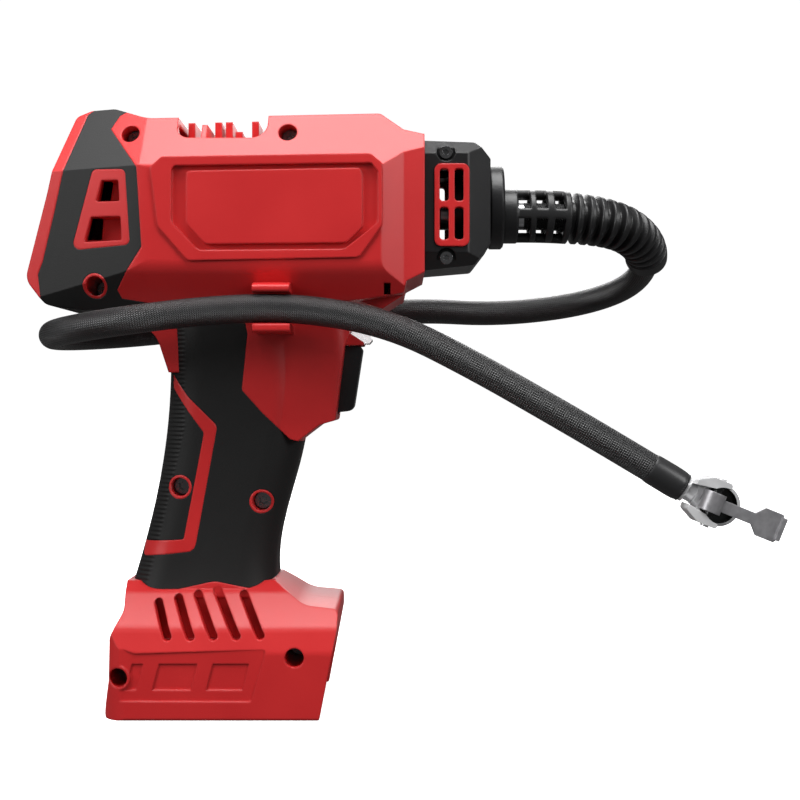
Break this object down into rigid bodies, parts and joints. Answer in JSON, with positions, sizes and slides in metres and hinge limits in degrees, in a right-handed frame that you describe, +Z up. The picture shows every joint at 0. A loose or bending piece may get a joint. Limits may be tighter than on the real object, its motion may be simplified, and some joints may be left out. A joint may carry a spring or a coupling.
{
  "type": "cordless tyre inflator",
  "caption": "Cordless pistol-grip tyre inflator with display on the back, battery foot, clipped braided hose, ribbed strain relief and lever valve chuck.",
  "frame": {"origin": "on the ground under the middle of the tool's length, in the plane where the housing parts", "axes": "+X from the display end towards the nose, +Y to the tool's left side, +Z up"},
  "size_m": [0.268, 0.1265, 0.2218],
  "materials": {
    "red_abs": "satin",
    "black_overmould": "matte",
    "black_plastic": "satin",
    "display_window": "gloss",
    "circuit_board": "satin",
    "button_rubber": "matte",
    "button_red": "matte",
    "dark_steel": "satin",
    "clear_lens": "gloss",
    "spring_steel": "satin",
    "brass": "satin",
    "zinc_steel": "satin",
    "magnet": "matte",
    "armature": "satin",
    "cast_alloy": "cast",
    "gear_plastic": "satin",
    "seal_rubber": "matte",
    "wire_cover": "satin",
    "boot_rubber": "satin",
    "bright_steel": "satin",
    "braid": "woven",
    "sleeve": "satin",
    "chrome": "polished",
    "lever_steel": "satin"
  },
  "bodies": {
    "tool": {"battery_leads": "wire_cover", "chuck_body": "chrome", "chuck_fitting": "chrome", "chuck_pin": "chrome", "chuck_seal": "seal_rubber", "collar_screws": "dark_steel", "collar_vents": "red_abs", "control_board": "circuit_board", "cylinder": "cast_alloy", "cylinder_head": "cast_alloy", "display_board": "circuit_board", "display_lens": "display_window", "display_panel": "black_plastic", "gearbox_frame": "cast_alloy", "grip_overmould_left": "black_overmould", "grip_overmould_right": "black_overmould", "head_screws": "dark_steel", "hose_ferrule": "bright_steel", "hose_sleeve": "sleeve", "hose_tube": "braid", "housing_left": "red_abs", "housing_right": "red_abs", "housing_screws": "dark_steel", "led_board": "circuit_board", "led_lens": "clear_lens", "motor_can": "zinc_steel", "motor_endcap": "black_plastic", "motor_leads": "wire_cover", "motor_magnets": "magnet", "nose_collar": "black_plastic", "nose_gland": "black_plastic", "outlet_pipe": "brass", "outlet_valve": "brass", "rear_bezel": "red_abs", "rear_bumper_left": "black_overmould", "rear_bumper_right": "black_overmould", "shaft_bearings": "spring_steel", "strain_relief_boot": "boot_rubber", "terminal_blades": "brass", "terminal_block": "black_plastic", "trigger_spring": "spring_steel", "trigger_switch": "black_plastic"},
    "trigger": {"trigger": "black_plastic"},
    "button_minus": {"button_minus": "button_rubber"},
    "button_plus": {"button_plus": "button_rubber"},
    "button_mode": {"button_mode": "button_rubber"},
    "button_power": {"button_power": "button_red"},
    "rotor": {"motor_shaft": "spring_steel", "motor_armature": "armature", "motor_fan": "black_plastic", "pinion": "spring_steel"},
    "crank": {"crank_gear": "gear_plastic", "crankshaft": "spring_steel"},
    "piston": {"piston": "cast_alloy", "piston_seal": "seal_rubber", "wrist_pin": "spring_steel"},
    "rod": {"connecting_rod": "cast_alloy", "crank_pin": "spring_steel"},
    "lever": {"chuck_lever": "lever_steel"},
    "plunger": {"chuck_plunger": "brass"}
  },
  "joints": [
    {"name": "trigger_pull", "type": "slide", "parent": "tool", "child": "trigger", "axis": [-1, 0, 0], "range_m": [0, 0.006], "stiffness_N_per_m": 250, "springref_m": -0.004, "deforming": ["trigger_spring"]},
    {"name": "minus_press", "type": "slide", "parent": "tool", "child": "button_minus", "axis": [0.9583, 0, -0.2858], "range_m": [0, 0.0008], "stiffness_N_per_m": 400, "springref_m": -0.001},
    {"name": "plus_press", "type": "slide", "parent": "tool", "child": "button_plus", "axis": [0.9583, 0, -0.2858], "range_m": [0, 0.0008], "stiffness_N_per_m": 400, "springref_m": -0.001},
    {"name": "mode_press", "type": "slide", "parent": "tool", "child": "button_mode", "axis": [0.9583, 0, -0.2858], "range_m": [0, 0.0008], "stiffness_N_per_m": 400, "springref_m": -0.001},
    {"name": "power_press", "type": "slide", "parent": "tool", "child": "button_power", "axis": [0.9583, 0, -0.2858], "range_m": [0, 0.0008], "stiffness_N_per_m": 400, "springref_m": -0.001},
    {"name": "crank_spin", "type": "hinge", "parent": "tool", "child": "crank", "pos_m": [0, 0, 0.1682], "axis": [1, 0, 0], "continuous": true},
    {"name": "rotor_spin", "type": "hinge", "parent": "tool", "child": "rotor", "pos_m": [0, 0, 0.185], "axis": [1, 0, 0], "continuous": true},
    {"name": "piston_stroke", "type": "slide", "parent": "tool", "child": "piston", "axis": [0, 0, 1], "range_m": [0, 0.01]},
    {"name": "rod_swing", "type": "hinge", "parent": "piston", "child": "rod", "pos_m": [0.027, 0, 0.1872], "axis": [1, 0, 0], "range_deg": [-12, 12]},
    {"name": "lever_lift", "type": "hinge", "parent": "tool", "child": "lever", "pos_m": [0.1564, -0.0515, 0.07855], "axis": [-0.3746, 0, -0.9272], "range_deg": [0, 90]},
    {"name": "plunger_squeeze", "type": "slide", "parent": "tool", "child": "plunger", "axis": [0, 1, 0], "range_m": [0, 0.0012]}
  ],
  "couplings": [
    {"joint": "rotor_spin", "follows": "crank_spin", "ratio": -3.6667},
    {"joint": "plunger_squeeze", "follows": "lever_lift", "m_per_rad": 0.00076394}
  ]
}
